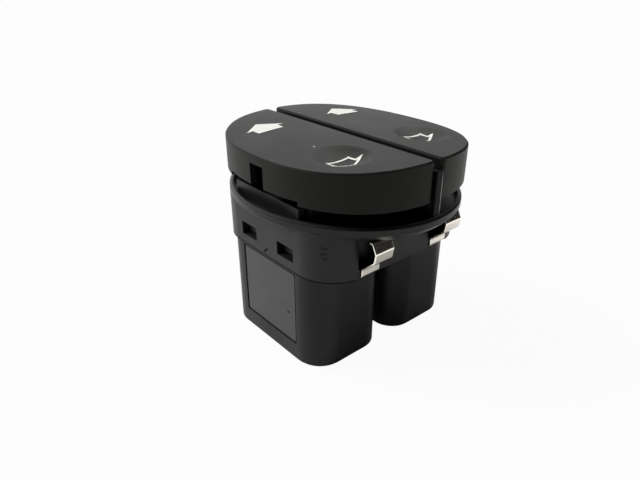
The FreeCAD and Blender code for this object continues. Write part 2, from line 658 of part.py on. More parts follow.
def clip():
    """The front right spring clip: hooked round the pocket's ledge, with a bellied free leaf."""
    half = CLIP_THICKNESS / 2
    face = -HOUSING_HALF_LENGTH
    inside = face + POCKET_DEPTH - CLIP_CLEARANCE - half
    outside = face - CLIP_CLEARANCE - half
    under = BASE_HEIGHT + LEDGE_LIFT - CLIP_CLEARANCE - half
    ledge_top = BASE_HEIGHT + POCKET_LEDGE
    leaf_top = FLANGE_BOTTOM - CLIP_TOP_CLEARANCE - half
    knee_z = leaf_top - CLIP_KNEE_DROP
    knee_y = face - CLIP_BULGE + half
    bend = half + CLIP_BEND
    points = [(inside, ledge_top - CLIP_LEG_SINK, 0),
              (inside, under, bend),
              (outside, under, bend),
              (outside, ledge_top, CLIP_SWEEP),
              (knee_y + CLIP_BELLY_LEAN, knee_z - CLIP_BELLY, CLIP_SWEEP),
              (knee_y, knee_z, CLIP_SWEEP),
              (face - CLIP_TOP_REACH, leaf_top, bend),
              (face - CLIP_TOP_REACH + CLIP_LIP, leaf_top, 0)]
    outline = strip_outline(points, CLIP_THICKNESS)
    return side_piece(outline, CLIP_X - CLIP_WIDTH / 2, CLIP_X + CLIP_WIDTH / 2)


def terminal(place):
    """A blade with a contact pad as its head, pressed through the deck."""
    y = place * TERMINAL_PITCH
    blade = box(SWITCH_X - BLADE_THICKNESS / 2, SWITCH_X + BLADE_THICKNESS / 2,
                y - BLADE_WIDTH / 2, y + BLADE_WIDTH / 2, BLADE_TIP, DECK_TOP)
    tip = [edge for edge in blade.Edges if edge.BoundBox.ZMax < BLADE_TIP + NO_GAP]
    blade = blade.makeChamfer(BLADE_CHAMFER, tip)
    pad = box(SWITCH_X - PAD_WIDTH / 2, SWITCH_X + PAD_WIDTH / 2, y - PAD_LENGTH / 2,
              y + PAD_LENGTH / 2, DECK_TOP, PAD_TOP)
    return blade.fuse(pad).removeSplitter()


def wiper(end):
    """A contact strip under the carriage with three pressed fingers; end is -1 or 1 along Y."""
    middle = end * (TERMINAL_PITCH + WIPER_OFFSET)
    half = FINGER_PITCH + FINGER_HALF_LENGTH + WIPER_THICKNESS
    plate = box(SWITCH_X - WIPER_WIDTH / 2, SWITCH_X + WIPER_WIDTH / 2, middle - half,
                middle + half, WIPER_BOTTOM, WIPER_BOTTOM + WIPER_THICKNESS)
    tip = WIPER_BOTTOM - FINGER_HEIGHT
    for step in (-1, 0, 1):
        y = middle + step * FINGER_PITCH
        outline = [(y - FINGER_HALF_LENGTH, WIPER_BOTTOM, 0), (y - FINGER_LAND, tip, 0),
                   (y + FINGER_LAND, tip, 0), (y + FINGER_HALF_LENGTH, WIPER_BOTTOM, 0)]
        finger = side_piece(outline, SWITCH_X - FINGER_WIDTH / 2, SWITCH_X + FINGER_WIDTH / 2)
        plate = plate.fuse(finger)
    return plate.removeSplitter()


def carriage():
    """The right-hand slider, which the rocker's leg pushes along the rails."""
    half_y = TERMINAL_PITCH + WIPER_OFFSET + FINGER_PITCH + FINGER_HALF_LENGTH + CARRIAGE_END
    body = box(SWITCH_X - CARRIAGE_HALF_WIDTH, SWITCH_X + CARRIAGE_HALF_WIDTH, -half_y, half_y,
               CARRIAGE_BOTTOM, CARRIAGE_TOP)
    for side in (-1, 1):
        outer = SWITCH_X + side * CARRIAGE_HALF_WIDTH
        inner = outer - side * SKID_WIDTH
        skid = box(min(outer, inner), max(outer, inner), -half_y, half_y,
                   DECK_TOP + SKID_CLEARANCE, CARRIAGE_TOP)
        body = body.fuse(skid)
        gap = LEG_TIP_RADIUS + LEG_CLEARANCE
        wall = box(SWITCH_X - FORK_WIDTH / 2, SWITCH_X + FORK_WIDTH / 2,
                   min(side * gap, side * (gap + FORK_WALL)), max(side * gap, side * (gap + FORK_WALL)),
                   CARRIAGE_BOTTOM, CARRIAGE_TOP + FORK_HEIGHT)
        body = body.fuse(wall)
    return body.removeSplitter()


def spring_section(station, rise):
    """The flat-sided section of the wire at one station along the helix."""
    angle = 2 * math.pi * station / SPRING_STATIONS
    middle_radius = SPRING_RADIUS - SPRING_WIRE
    step = 2 * math.pi * middle_radius / SPRING_STATIONS
    outwards = FreeCAD.Vector(math.cos(angle), math.sin(angle), 0)
    along = FreeCAD.Vector(-math.sin(angle), math.cos(angle), rise / step)
    upwards = outwards.cross(along).normalize()
    centre = outwards * middle_radius + FreeCAD.Vector(0, 0, rise * station)
    corners = []
    for corner in range(SPRING_SIDES + 1):
        turn = 2 * math.pi * corner / SPRING_SIDES
        corners.append(centre + outwards * (SPRING_WIRE * math.cos(turn))
                       + upwards * (SPRING_WIRE * math.sin(turn)))
    return Part.makePolygon(corners)


def spring():
    """The front right return spring: a coil lofted through sections of its wire along a helix."""
    bottom = FLANGE_TOP + SPRING_WIRE + SPRING_CLEARANCE
    top = under_height(SWITCH_X) - SPRING_WIRE - SPRING_CLEARANCE
    stations = SPRING_TURNS * SPRING_STATIONS
    rise = (top - bottom) / stations
    sections = [spring_section(station, rise) for station in range(stations + 1)]
    coil = Part.makeLoft(sections, True, True)
    coil.translate(FreeCAD.Vector(SWITCH_X, -SPRING_Y, bottom))
    return coil


def save(name, shape):
    """Write one piece to its STEP file."""
    shape.exportStep("parts/" + name + ".step")
    print(name, "solids", len(shape.Solids), "valid", shape.isValid(), "volume", round(shape.Volume, 2))


def main():
    """Make every piece and write it out."""
    os.makedirs("parts", exist_ok=True)
    save("housing", housing())
    save("base", base())
    right_rocker = rocker()
    right_clip = clip()
    right_spring = spring()
    right_carriage = carriage()
    for side, turn in (("right", lambda shape: shape), ("left", mirror_x)):
        save(side + "_rocker", turn(right_rocker))
        save(side + "_carriage", turn(right_carriage))
        save(side + "_front_clip", turn(right_clip))
        save(side + "_rear_clip", turn(mirror_y(right_clip)))
        save(side + "_front_spring", turn(right_spring))
        save(side + "_rear_spring", turn(mirror_y(right_spring)))
        save(side + "_front_wiper", turn(wiper(-1)))
        save(side + "_rear_wiper", turn(wiper(1)))
        for place, name in zip(TERMINAL_PLACES, TERMINAL_NAMES):
            save(side + "_" + name + "_terminal", turn(terminal(place)))


main()
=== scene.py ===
# %% [markdown]
# # A twin power window switch, dressed for its portrait
# The model comes in as solids: two rockers on an oval housing, spring clips, a base with two
# sockets, and the contacts inside. This lesson gives those solids their edges, finishes, printed
# signs and small marks. The solids keep their places, so everything here is drawn round them.
# Lengths are written in millimetres and angles in degrees, and MM turns the first into metres.

import json
import math

import bmesh
import bpy
import numpy as np
from mathutils import Euler, Matrix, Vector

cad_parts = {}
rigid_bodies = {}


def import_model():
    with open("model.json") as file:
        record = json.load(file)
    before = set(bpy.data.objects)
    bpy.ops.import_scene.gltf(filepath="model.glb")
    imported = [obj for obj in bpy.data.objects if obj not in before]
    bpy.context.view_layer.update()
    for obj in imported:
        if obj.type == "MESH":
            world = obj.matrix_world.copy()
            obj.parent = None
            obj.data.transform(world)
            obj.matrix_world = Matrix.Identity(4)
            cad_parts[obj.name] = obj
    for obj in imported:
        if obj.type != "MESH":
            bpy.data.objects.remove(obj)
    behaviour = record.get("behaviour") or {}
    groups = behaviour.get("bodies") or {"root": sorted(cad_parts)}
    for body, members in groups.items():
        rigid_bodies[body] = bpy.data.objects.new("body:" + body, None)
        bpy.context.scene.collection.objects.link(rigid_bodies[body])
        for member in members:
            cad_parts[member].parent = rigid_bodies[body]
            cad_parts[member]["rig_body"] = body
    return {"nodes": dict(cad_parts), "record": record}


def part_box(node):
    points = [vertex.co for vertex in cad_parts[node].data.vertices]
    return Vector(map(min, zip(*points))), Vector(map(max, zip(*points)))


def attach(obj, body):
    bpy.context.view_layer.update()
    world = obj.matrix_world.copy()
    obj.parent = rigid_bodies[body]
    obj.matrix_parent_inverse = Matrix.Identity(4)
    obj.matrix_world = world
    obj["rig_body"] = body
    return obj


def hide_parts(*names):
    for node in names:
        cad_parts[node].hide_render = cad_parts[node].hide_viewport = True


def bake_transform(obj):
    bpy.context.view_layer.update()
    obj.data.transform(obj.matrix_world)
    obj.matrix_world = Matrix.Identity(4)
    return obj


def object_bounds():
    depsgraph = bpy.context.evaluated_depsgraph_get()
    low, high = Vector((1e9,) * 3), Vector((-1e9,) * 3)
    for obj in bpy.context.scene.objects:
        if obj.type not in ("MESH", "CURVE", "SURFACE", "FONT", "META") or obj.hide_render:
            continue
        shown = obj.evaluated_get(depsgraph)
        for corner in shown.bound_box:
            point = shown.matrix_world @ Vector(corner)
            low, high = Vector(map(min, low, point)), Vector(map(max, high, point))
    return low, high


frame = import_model()
cad_box = [[float(value) for value in corner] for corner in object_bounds()]
MM = 0.001
print("size in mm:", [round((high - low) / MM, 2) for low, high in zip(*cad_box)])

# %% [markdown]
# ## The camera
# The photograph was matched by fitting a pinhole camera to the edges of the switch, which gives a
# place, a heading, a tilt and a focal length. A camera in Blender looks along its own -Z, so it
# is tipped up from straight down, turned about the upright, and last rolled about its view. The
# small function that links it into the scene serves for every object below.

# %% Camera
CAMERA_PLACE_MM = (-68.13, -73.75, 67.98)
CAMERA_HEADING = 40.239
CAMERA_TILT = 27.126
CAMERA_ROLL = -0.163
CAMERA_FOCAL_MM = 30.39
CAMERA_SENSOR_MM = 36
CAMERA_NEAR_MM = 5


def linked(name, data):
    """A new object for its data (a mesh, a camera or a lamp), linked into the scene."""
    thing = bpy.data.objects.new(name, data)
    bpy.context.scene.collection.objects.link(thing)
    return thing


def turned_camera(heading, tilt, roll):
    """Turn about Z by minus the heading, about X by 90 minus the tilt, then about the view by the roll."""
    look = Euler((math.radians(90 - tilt), 0, math.radians(-heading))).to_matrix().to_4x4()
    return look @ Matrix.Rotation(math.radians(roll), 4, "Z")


camera_data = bpy.data.cameras.new("camera")
camera_data.sensor_width = CAMERA_SENSOR_MM
camera_data.lens = CAMERA_FOCAL_MM
camera_data.clip_start = CAMERA_NEAR_MM * MM
camera = linked("camera", camera_data)
place = Matrix.Translation([value * MM for value in CAMERA_PLACE_MM])
camera.matrix_world = place @ turned_camera(CAMERA_HEADING, CAMERA_TILT, CAMERA_ROLL)
bpy.context.scene.camera = camera
print("camera", CAMERA_FOCAL_MM, "mm at", CAMERA_PLACE_MM)

# %% [markdown]
# ## Colours and nodes
# Colours are written as sRGB hex, the way a paint chart gives them, while shaders work in linear
# light, so one function converts them. A second small function adds a shader node with its
# settings and its links, which keeps each material below short enough to read at once.

# %% Colour and node helpers
def linear(hex_colour):
    """sRGB to linear light: c / 12.92 when small, otherwise ((c + 0.055) / 1.055) to the power 2.4."""
    channels = np.array([int(hex_colour[start:start + 2], 16) for start in (1, 3, 5)]) / 255
    curved = ((channels + 0.055) / 1.055) ** 2.4
    light = np.where(channels <= 0.04045, channels / 12.92, curved)
    return (float(light[0]), float(light[1]), float(light[2]), 1.0)


def add_node(tree, kind, inputs=None, **settings):
    """Adds one node; each input gets a value, or a link when it is given another node's output."""
    node = tree.nodes.new(kind)
    for name, value in settings.items():
        setattr(node, name, value)
    for name, value in (inputs or {}).items():
        if isinstance(value, bpy.types.NodeSocket):
            tree.links.new(value, node.inputs[name])
        else:
            node.inputs[name].default_value = value
    return node


def new_tree(name):
    """An empty material with its surface output: (material, tree, output)."""
    material = bpy.data.materials.new(name)
    material.use_nodes = True
    material.node_tree.nodes.clear()
    output = add_node(material.node_tree, "ShaderNodeOutputMaterial")
    return material, material.node_tree, output


print("black plastic in linear light:", [round(value, 4) for value in linear("#1b1c1d")])

# %% [markdown]
# ## Studio: floor, sky and one soft key
# The photograph is a catalogue shot: white all round, with a broad light from the left and behind
# that leaves the front of the switch dark. A sun lamp with a wide angle gives an even floor with a
# soft shadow. The sky is a long ramp from white behind the switch to dark in front of it, as in a
# light tent with an open front, with a soft box above that only mirrors in the flat tops. The
# lamp itself leaves no highlight, or it would glare in them. The camera sees the sky white all
# round, which Light Path sorts out, and the floor mostly as white, with part of its real shadow.

# %% Floor, world and lamp
FLOOR_HALF = 3000 * MM
FLOOR_DROP = 0.02 * MM
FLOOR_WHITENING = 0.95
MIRRORED_WHITENING = 0.12
KEY_STRENGTH = 3.6
KEY_ANGLE = 30
KEY_HEADING = 128
KEY_HEIGHT = 44
SKY_LIGHT = 0.45
SKY_BRIGHT_SIDE = (0.0, 0.87, 0.5)
SKY_RAMP = (0.2, 1.05)
SKY_RANGE = (0.015, 1.45)
SOFTBOX_SIDE = (0.55, 0.2, 0.81)
SOFTBOX_RAMP = (0.86, 0.98)
SOFTBOX_GAIN = 3.2


def floor_material():
    """Matt paper: pale for the light it returns, whiter in mirrors, nearly plain white for the camera."""
    material, tree, output = new_tree("pale_paper")
    path = add_node(tree, "ShaderNodeLightPath")
    tone = add_node(tree, "ShaderNodeMix", {0: path.outputs["Is Glossy Ray"], 6: linear("#c4c4c2"),
                                            7: linear("#fafaf8")}, data_type="RGBA")
    paper = add_node(tree, "ShaderNodeBsdfDiffuse", {"Color": tone.outputs[2]})
    white = add_node(tree, "ShaderNodeEmission", {"Color": (1, 1, 1, 1), "Strength": 1.0})
    mirrored = add_node(tree, "ShaderNodeMath", {0: path.outputs["Is Glossy Ray"],
                                                 1: MIRRORED_WHITENING}, operation="MULTIPLY")
    share = add_node(tree, "ShaderNodeMath", {0: path.outputs["Is Camera Ray"], 1: FLOOR_WHITENING,
                                              2: mirrored.outputs[0]}, operation="MULTIPLY_ADD")
    mix = add_node(tree, "ShaderNodeMixShader", {0: share.outputs[0], 1: paper.outputs[0],
                                                 2: white.outputs[0]})
    tree.links.new(mix.outputs[0], output.inputs["Surface"])
    return material


def ramp_towards(tree, direction, side, limits, low, high):
    """A smooth ramp of the direction's dot product with a side, from low to high between two limits."""
    lean = add_node(tree, "ShaderNodeVectorMath", {0: direction, 1: side}, operation="DOT_PRODUCT")
    return add_node(tree, "ShaderNodeMapRange", {"Value": lean.outputs["Value"],
                                                 "From Min": limits[0], "From Max": limits[1],
                                                 "To Min": low, "To Max": high},
                    interpolation_type="SMOOTHSTEP").outputs["Result"]


def studio_world():
    """Sky: a ramp to the bright side plus a soft box overhead; dim for light, full in reflections."""
    world = bpy.data.worlds.new("studio")
    world.use_nodes = True
    tree = world.node_tree
    tree.nodes.clear()
    direction = add_node(tree, "ShaderNodeTexCoord").outputs["Object"]
    wall = ramp_towards(tree, direction, SKY_BRIGHT_SIDE, SKY_RAMP, *SKY_RANGE)
    box = ramp_towards(tree, direction, SOFTBOX_SIDE, SOFTBOX_RAMP, 0.0, SOFTBOX_GAIN)
    both = add_node(tree, "ShaderNodeMath", {0: wall, 1: box}, operation="ADD")
    path = add_node(tree, "ShaderNodeLightPath")
    mirrored = add_node(tree, "ShaderNodeMath", {0: path.outputs["Is Glossy Ray"],
                                                 1: path.outputs["Is Transmission Ray"]},
                        operation="MAXIMUM")
    strength = add_node(tree, "ShaderNodeMapRange", {"Value": mirrored.outputs[0],
                                                     "To Min": SKY_LIGHT, "To Max": 1.0})
    shown = add_node(tree, "ShaderNodeMath", {0: both.outputs[0],
                                              1: strength.outputs["Result"]}, operation="MULTIPLY")
    shed = add_node(tree, "ShaderNodeBackground", {"Color": (1, 1, 1, 1), "Strength": shown.outputs[0]})
    seen = add_node(tree, "ShaderNodeBackground", {"Color": (1, 1, 1, 1), "Strength": 1.0})
    sky = add_node(tree, "ShaderNodeMixShader", {0: path.outputs["Is Camera Ray"],
                                                 1: shed.outputs[0], 2: seen.outputs[0]})
    add_node(tree, "ShaderNodeOutputWorld", {"Surface": sky.outputs[0]})
    return world


floor_mesh = bpy.data.meshes.new("floor")
floor_corners = np.array([(-1, -1), (1, -1), (1, 1), (-1, 1)]) * FLOOR_HALF
floor_level = cad_box[0][2] - FLOOR_DROP
floor_mesh.from_pydata([(x, y, floor_level) for x, y in floor_corners], [], [(0, 1, 2, 3)])
floor_mesh.materials.append(floor_material())
floor = linked("floor", floor_mesh)
bpy.context.scene.world = studio_world()

key_data = bpy.data.lights.new("key", "SUN")
key_data.energy = KEY_STRENGTH
key_data.angle = math.radians(KEY_ANGLE)
key = linked("key", key_data)
key.rotation_euler = (math.radians(90 - KEY_HEIGHT), 0, math.radians(KEY_HEADING + 90))
key.visible_glossy = False
bpy.context.scene.view_settings.view_transform = "Standard"
print("key lamp", KEY_STRENGTH, "at", KEY_HEIGHT, "degrees up")

# %% [markdown]
# ## Moulded plastic
# The rockers are ABS moulded in a tool whose faces were spark eroded, which leaves a fine even
# grain and a matt, slightly warm black. The housing and base are glass-filled nylon: a little
# smoother and shinier, with faint flow clouds. The two carriages inside are natural acetal, an
# off-white, waxy plastic that slides well. One function makes all three. Its fine noise is the
# grain, its broad noise is the clouds that change colour and roughness a little. Real grain is
# about 0.05 mm wide and would vanish at this size, so it is drawn several times coarser. Noise
# keeps mostly to the middle of its range, so that middle is stretched over all of the roughness.

# %% Plastic finishes
PLASTIC_IOR = 1.5
NOISE_MIDDLE = (0.3, 0.7)


def moulded_plastic(name, colour, cloud_colour, roughness, spread, grain_mm, grain_depth_mm, cloud_mm,
                    shine, shine_colour="#ffffff"):
    """Principled surface: noise of grain_mm drives bump, noise of cloud_mm drives colour and gloss."""
    material, tree, output = new_tree(name)
    place = add_node(tree, "ShaderNodeTexCoord")
    grain = add_node(tree, "ShaderNodeTexNoise", {"Vector": place.outputs["Object"], "Detail": 2.0,
                                                  "Scale": 1 / (grain_mm * MM)})
    clouds = add_node(tree, "ShaderNodeTexNoise", {"Vector": place.outputs["Object"], "Detail": 3.0,
                                                   "Scale": 1 / (cloud_mm * MM)})
    tint = add_node(tree, "ShaderNodeMix", {0: clouds.outputs["Fac"], 6: linear(colour),
                                            7: linear(cloud_colour)}, data_type="RGBA")
    gloss = add_node(tree, "ShaderNodeMapRange",
                     {"Value": clouds.outputs["Fac"], "From Min": NOISE_MIDDLE[0],
                      "From Max": NOISE_MIDDLE[1], "To Min": roughness - spread,
                      "To Max": roughness + spread})
    bump = add_node(tree, "ShaderNodeBump", {"Height": grain.outputs["Fac"], "Strength": 1.0,
                                             "Distance": grain_depth_mm * MM})
    surface = add_node(tree, "ShaderNodeBsdfPrincipled",
                       {"Base Color": tint.outputs[2], "Roughness": gloss.outputs["Result"],
                        "Normal": bump.outputs["Normal"], "IOR": PLASTIC_IOR,
                        "Specular IOR Level": shine, "Specular Tint": linear(shine_colour)})
    tree.links.new(surface.outputs["BSDF"], output.inputs["Surface"])
    return material


finishes = {
    "rocker_plastic": moulded_plastic("spark_eroded_abs", "#151515", "#191918", roughness=0.45,
                                      spread=0.03, grain_mm=0.3, grain_depth_mm=0.014,
                                      cloud_mm=9.0, shine=0.13, shine_colour="#fffcf4"),
    "housing_plastic": moulded_plastic("glass_filled_nylon", "#191919", "#1e1e1e", roughness=0.4,
                                       spread=0.05, grain_mm=0.45, grain_depth_mm=0.02,
                                       cloud_mm=6.0, shine=0.235),
    "base_plastic": moulded_plastic("glass_filled_nylon_base", "#171718", "#1e1e1f",
                                    roughness=0.42, spread=0.06, grain_mm=0.45,
                                    grain_depth_mm=0.02, cloud_mm=7.0, shine=0.205),
    "carriage_plastic": moulded_plastic("natural_acetal", "#dcd9cf", "#e8e5dc", roughness=0.4,
                                        spread=0.03, grain_mm=0.4, grain_depth_mm=0.004,
                                        cloud_mm=5.0, shine=0.5),
}
print("plastics:", sorted(finishes))

# %% [markdown]
# ## Metals
# The clips are spring steel with a bright nickel plate, faintly yellow, rolled along their length.
# The blades are tinned brass, the wipers a copper alloy and the coils drawn steel wire. A metal's
# colour is in its reflection, so metallic is 1, and a stretched noise gives the fine rolling lines
# that break up the mirror a little.

# %% Metal finishes
LINE_STRETCH = 0.06
METAL_SPREAD = (0.8, 1.25)
ALONG_Y, ALONG_Z = 1, 2


def rolled_metal(name, colour, worn_colour, roughness, line_mm, line_depth_mm, along):
    """Metal with rolling lines: noise squeezed to line_mm across and drawn long along one axis."""
    material, tree, output = new_tree(name)
    place = add_node(tree, "ShaderNodeTexCoord")
    squeeze = [1 / (line_mm * MM)] * 3
    squeeze[along] *= LINE_STRETCH
    lines = add_node(tree, "ShaderNodeMapping", {"Vector": place.outputs["Object"], "Scale": squeeze})
    noise = add_node(tree, "ShaderNodeTexNoise", {"Vector": lines.outputs[0], "Scale": 1.0,
                                                  "Detail": 3.0})
    tint = add_node(tree, "ShaderNodeMix", {0: noise.outputs["Fac"], 6: linear(colour),
                                            7: linear(worn_colour)}, data_type="RGBA")
    gloss = add_node(tree, "ShaderNodeMapRange",
                     {"Value": noise.outputs["Fac"], "From Min": NOISE_MIDDLE[0],
                      "From Max": NOISE_MIDDLE[1], "To Min": roughness * METAL_SPREAD[0],
                      "To Max": roughness * METAL_SPREAD[1]})
    bump = add_node(tree, "ShaderNodeBump", {"Height": noise.outputs["Fac"], "Strength": 1.0,
                                             "Distance": line_depth_mm * MM})
    surface = add_node(tree, "ShaderNodeBsdfPrincipled",
                       {"Base Color": tint.outputs[2], "Metallic": 1.0,
                        "Roughness": gloss.outputs["Result"], "Normal": bump.outputs["Normal"]})
    tree.links.new(surface.outputs["BSDF"], output.inputs["Surface"])
    return material


finishes["clip_steel"] = rolled_metal("nickel_plated_spring_steel", "#f6f2e8", "#ece6da",
                                      roughness=0.16, line_mm=0.25, line_depth_mm=0.0008,
                                      along=ALONG_Z)
finishes["spring_wire"] = rolled_metal("drawn_spring_wire", "#b9b8b4", "#a6a5a1", roughness=0.3,
                                       line_mm=0.1, line_depth_mm=0.001, along=ALONG_Z)
finishes["contact_copper"] = rolled_metal("rolled_copper_alloy", "#d29b6c", "#b97f52",
                                          roughness=0.28, line_mm=0.2, line_depth_mm=0.002,
                                          along=ALONG_Y)
finishes["terminal_brass"] = rolled_metal("tinned_brass", "#d9d7d0", "#c6c3b8", roughness=0.3,
                                          line_mm=0.3, line_depth_mm=0.002, along=ALONG_Z)
print("finishes:", len(finishes))

# %% [markdown]
# ## Edges that catch the light
# No moulding has knife edges: each one is rounded by the tool, and that thin round is what the eye
# reads as a real object. The solids' edges are sharp, so each visible moulding and clip is drawn
# again from its own solid: the loose triangles are merged, flat neighbours are joined into whole
# faces, and a Bevel modifier rounds what is left. Weighted normals then let the large faces lead,
# so that the flats shade flat and the round walls shade round. The copy stands for the solid,
# which stays underneath for the physics.

# %% Dress the solids
EDGE_ROUND_MM = {"rocker_plastic": 0.12, "housing_plastic": 0.1, "base_plastic": 0.12,
                 "clip_steel": 0.08}
EDGE_SEGMENTS = 2
SHARP_ANGLE = 28
MERGE_DISTANCE = 0.002 * MM
FLAT_ANGLE = 0.05


def merged_mesh(node, name):
    """The node's mesh with its doubles merged and its flat neighbours joined into whole faces."""
    shape = bmesh.new()
    shape.from_mesh(frame["nodes"][node].data)
    bmesh.ops.remove_doubles(shape, verts=shape.verts, dist=MERGE_DISTANCE)
    bmesh.ops.dissolve_limit(shape, angle_limit=math.radians(FLAT_ANGLE), verts=shape.verts,
                             edges=shape.edges)
    mesh = bpy.data.meshes.new(name)
    shape.to_mesh(mesh)
    shape.free()
    mesh.shade_smooth()
    mesh.set_sharp_from_angle(angle=math.radians(SHARP_ANGLE))
    return mesh


def rounded_piece(name, mesh, slot_name, body):
    """An object from a mesh, with its edges rounded for its finish, which rides on a body."""
    mesh.materials.clear()
    mesh.materials.append(finishes[slot_name])
    piece = linked(name, mesh)
    bevel = piece.modifiers.new("edge_round", "BEVEL")
    bevel.width = EDGE_ROUND_MM[slot_name] * MM
    bevel.segments = EDGE_SEGMENTS
    bevel.limit_method = "ANGLE"
    bevel.angle_limit = math.radians(SHARP_ANGLE)
    bevel.use_clamp_overlap = True
    smooth = piece.modifiers.new("large_faces_lead", "WEIGHTED_NORMAL")
    smooth.keep_sharp = True
    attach(piece, body)
    return piece


def dressed(node, slot_name):
    """A copy of a solid with rounded edges, which rides on the solid's body and stands for it."""
    name = node + "_moulding"
    piece = rounded_piece(name, merged_mesh(node, name), slot_name, frame["nodes"][node]["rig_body"])
    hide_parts(node)
    return piece


node_slots = {part["node"]: part["material_slot"] for part in frame["record"]["subparts"]}
for node, slot_name in sorted(node_slots.items()):
    if slot_name in EDGE_ROUND_MM:
        piece = dressed(node, slot_name)
        print(node, "faces", len(piece.data.polygons))
    else:
        solid = frame["nodes"][node]
        solid.data.materials.clear()
        solid.data.materials.append(finishes[slot_name])

# %% [markdown]
# ## Small forms of the housing
# At its four corners the housing's wall runs up into the flange, where the bevel under the flange
# would leave a groove. A short tube of rectangular section follows the wall there and fills it. A
# much finer near-black tube below it is painted shade along the joint of housing and base. The fin
# between the rockers ends in a wider nose at the front and back, which nearly fills the gap; the
# nose is matt, and its colour, darker than the walls, is painted shade under the rockers.

# %% Corner fillers, joint lines of painted shade and fin noses
HOUSING_HALF = (18.63, 17.2)
HOUSING_CORNER = 7.8
TUBE_PROUD = 0.012
FILLER_RISE = (26.9, 28.72)
FILLER_DEPTH = 0.8
FILLER_START_Y = 7.0
JOINT_RISE = (19.43, 19.58)
JOINT_DEPTH = 0.06
CORNER_TURN = 81.0
CORNER_STEPS = 24
NOSE_HALF_WIDTH = 0.8
NOSE_REACH = (22.9, 23.45)
NOSE_RISE = (29.0, 38.2)


def ring_walls(stations, sides):
    """Four-sided faces between neighbouring rings of points, ring by ring and then round each."""
    start = np.arange(stations - 1)[:, None] * sides
    side = np.arange(sides)[None, :]
    after = (side + 1) % sides
    walls = np.stack([start + side, start + after, start + sides + after, start + sides + side], -1)
    return walls.reshape(-1, 4).tolist()


def end_caps(stations, sides):
    """One face over the first ring, turned round to look backwards, and one over the last."""
    last = (stations - 1) * sides
    return [list(range(sides))[::-1], list(range(last, last + sides))]


def tube(path, normals, depth, rise):
    """Sections of four corners along a path: (outer, low), (outer, high), (inner, high), (inner, low)."""
    inner = path - normals * depth
    rings = [np.column_stack([line, np.full(len(line), level)])
             for line, level in ((path, rise[0]), (path, rise[1]), (inner, rise[1]), (inner, rise[0]))]
    sections = np.stack(rings, 1)
    count, corners = sections.shape[:2]
    return sections.reshape(-1, 3), ring_walls(count, corners) + end_caps(count, corners)


def closed_mesh(name, points_mm, faces):
    """A mesh of a closed body, its normals turned outwards and its corners kept sharp."""
    mesh = bpy.data.meshes.new(name)
    mesh.from_pydata((points_mm * MM).tolist(), [], faces)
    shape = bmesh.new()
    shape.from_mesh(mesh)
    bmesh.ops.recalc_face_normals(shape, faces=shape.faces)
    shape.to_mesh(mesh)
    shape.free()
    mesh.shade_smooth()
    mesh.set_sharp_from_angle(angle=math.radians(SHARP_ANGLE))
    return mesh


def corner_tube(side, end, start_y, depth, rise):
    """A tube round one corner: straight along the side wall, then an arc about the corner's centre."""
    centre = np.array([HOUSING_HALF[0] - HOUSING_CORNER, HOUSING_HALF[1] - HOUSING_CORNER])
    turn = np.radians(np.linspace(0, CORNER_TURN, CORNER_STEPS))
    normals = np.column_stack([np.cos(turn), np.sin(turn)])
    path = np.vstack([[HOUSING_HALF[0], start_y], centre + normals * HOUSING_CORNER])
    normals = np.vstack([[1.0, 0.0], normals])
    flip = np.array([side, end])
    return tube((path + normals * TUBE_PROUD) * flip, normals * flip, depth, rise)


def fin_nose(end):
    """A bar across the end of the fin."""
    path = np.array([[-NOSE_HALF_WIDTH, end * NOSE_REACH[1]], [NOSE_HALF_WIDTH, end * NOSE_REACH[1]]])
    normals = np.array([[0.0, end], [0.0, end]])
    return tube(path, normals, NOSE_REACH[1] - NOSE_REACH[0], NOSE_RISE)


small_forms = {}
joint_shade_lines = {}
for end, end_sign in (("front", -1), ("rear", 1)):
    small_forms[f"fin_nose_{end}"] = fin_nose(end_sign)
    for side, side_sign in (("left", -1), ("right", 1)):
        small_forms[f"corner_filler_{side}_{end}"] = corner_tube(side_sign, end_sign, FILLER_START_Y,
                                                                 FILLER_DEPTH, FILLER_RISE)
        joint_shade_lines[f"joint_line_{side}_{end}"] = corner_tube(side_sign, end_sign, 0.0, JOINT_DEPTH,
                                                              JOINT_RISE)
# The noses' colour is painted shade under the rockers; their low shine and higher roughness make them
# matt.
nose_nylon_painted_shade = moulded_plastic("nose_nylon_painted_shade", "#0c0c0c", "#121212", roughness=0.5, spread=0.03,
                             grain_mm=0.5, grain_depth_mm=0.004, cloud_mm=5.0, shine=0.08)
for name, (points, faces) in small_forms.items():
    piece = rounded_piece(name, closed_mesh(name, points, faces), "housing_plastic", "root")
    if name.startswith("fin_nose"):
        piece.data.materials[0] = nose_nylon_painted_shade
print("small forms:", sorted(small_forms), "and", len(joint_shade_lines), "joint lines")

# %% [markdown]
# ## Return springs
# Two coils of drawn wire under each rocker push it back to the middle. A coil is a circle carried
# along a helix whose first and last half turns lie flat, as ground ends do.

# %% Springs
WIRE_RADIUS = 0.25
WIRE_SIDES = 10
COIL_TURNS = 4
COIL_STATIONS = 113
FLAT_SHARE = 0.125


